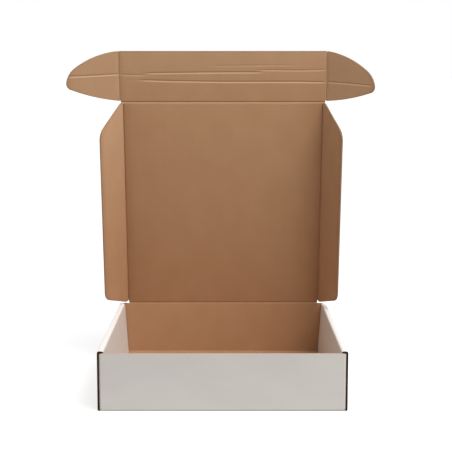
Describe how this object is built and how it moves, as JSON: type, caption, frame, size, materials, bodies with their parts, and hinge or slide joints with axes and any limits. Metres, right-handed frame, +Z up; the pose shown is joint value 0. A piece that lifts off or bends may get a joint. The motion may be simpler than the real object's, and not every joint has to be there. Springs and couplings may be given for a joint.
{
  "type": "corrugated mailer box",
  "caption": "Roll-end tuck-front mailer box of thin corrugated board, white outside and brown inside, standing open with its lid up and its flaps part folded.",
  "frame": {"origin": "centre of the base's underside", "axes": "+X to the box's right as its front wall is faced, +Y from the front wall to the lid's hinge, +Z up"},
  "size_m": [0.3519, 0.254, 0.3666],
  "materials": {
    "tray_board": "fine-fluted board, smooth matt white liner outside, plain brown liner inside, raw cut edges",
    "lid_board": "the same board seen from its brown inside, matt, faintly ribbed by the flutes, raw cut edges"
  },
  "bodies": {
    "tray": {"tray": "tray_board"},
    "lid": {"lid": "lid_board"},
    "dust_flap_left": {"dust_flap_left": "lid_board"},
    "dust_flap_right": {"dust_flap_right": "lid_board"},
    "tuck_flap": {"tuck_flap": "lid_board"},
    "tuck_ear_left": {"tuck_ear_left": "lid_board"},
    "tuck_ear_right": {"tuck_ear_right": "lid_board"}
  },
  "joints": [
    {"name": "lid_hinge", "type": "hinge", "parent": "tray", "child": "lid", "pos_m": [0, 0.1262, 0.063], "axis": [1, 0, 0], "range_deg": [-112, 14]},
    {"name": "dust_flap_left_crease", "type": "hinge", "parent": "lid", "child": "dust_flap_left", "pos_m": [-0.1167, 0.10411, 0.18578], "axis": [0, -0.1771, 0.9842], "range_deg": [-61.5, 28.5]},
    {"name": "dust_flap_right_crease", "type": "hinge", "parent": "lid", "child": "dust_flap_right", "pos_m": [0.1167, 0.10411, 0.18578], "axis": [0, 0.1771, -0.9842], "range_deg": [-67, 23]},
    {"name": "tuck_flap_crease", "type": "hinge", "parent": "lid", "child": "tuck_flap", "pos_m": [0, 0.08202, 0.30856], "axis": [1, 0, 0], "range_deg": [-0.9, 89.1]},
    {"name": "tuck_ear_left_crease", "type": "hinge", "parent": "tuck_flap", "child": "tuck_ear_left", "pos_m": [-0.1202, 0.07634, 0.3375], "axis": [0, -0.1925, 0.9813], "range_deg": [-12, 78]},
    {"name": "tuck_ear_right_crease", "type": "hinge", "parent": "tuck_flap", "child": "tuck_ear_right", "pos_m": [0.1202, 0.07634, 0.3375], "axis": [0, 0.1925, -0.9813], "range_deg": [-32, 58]}
  ]
}
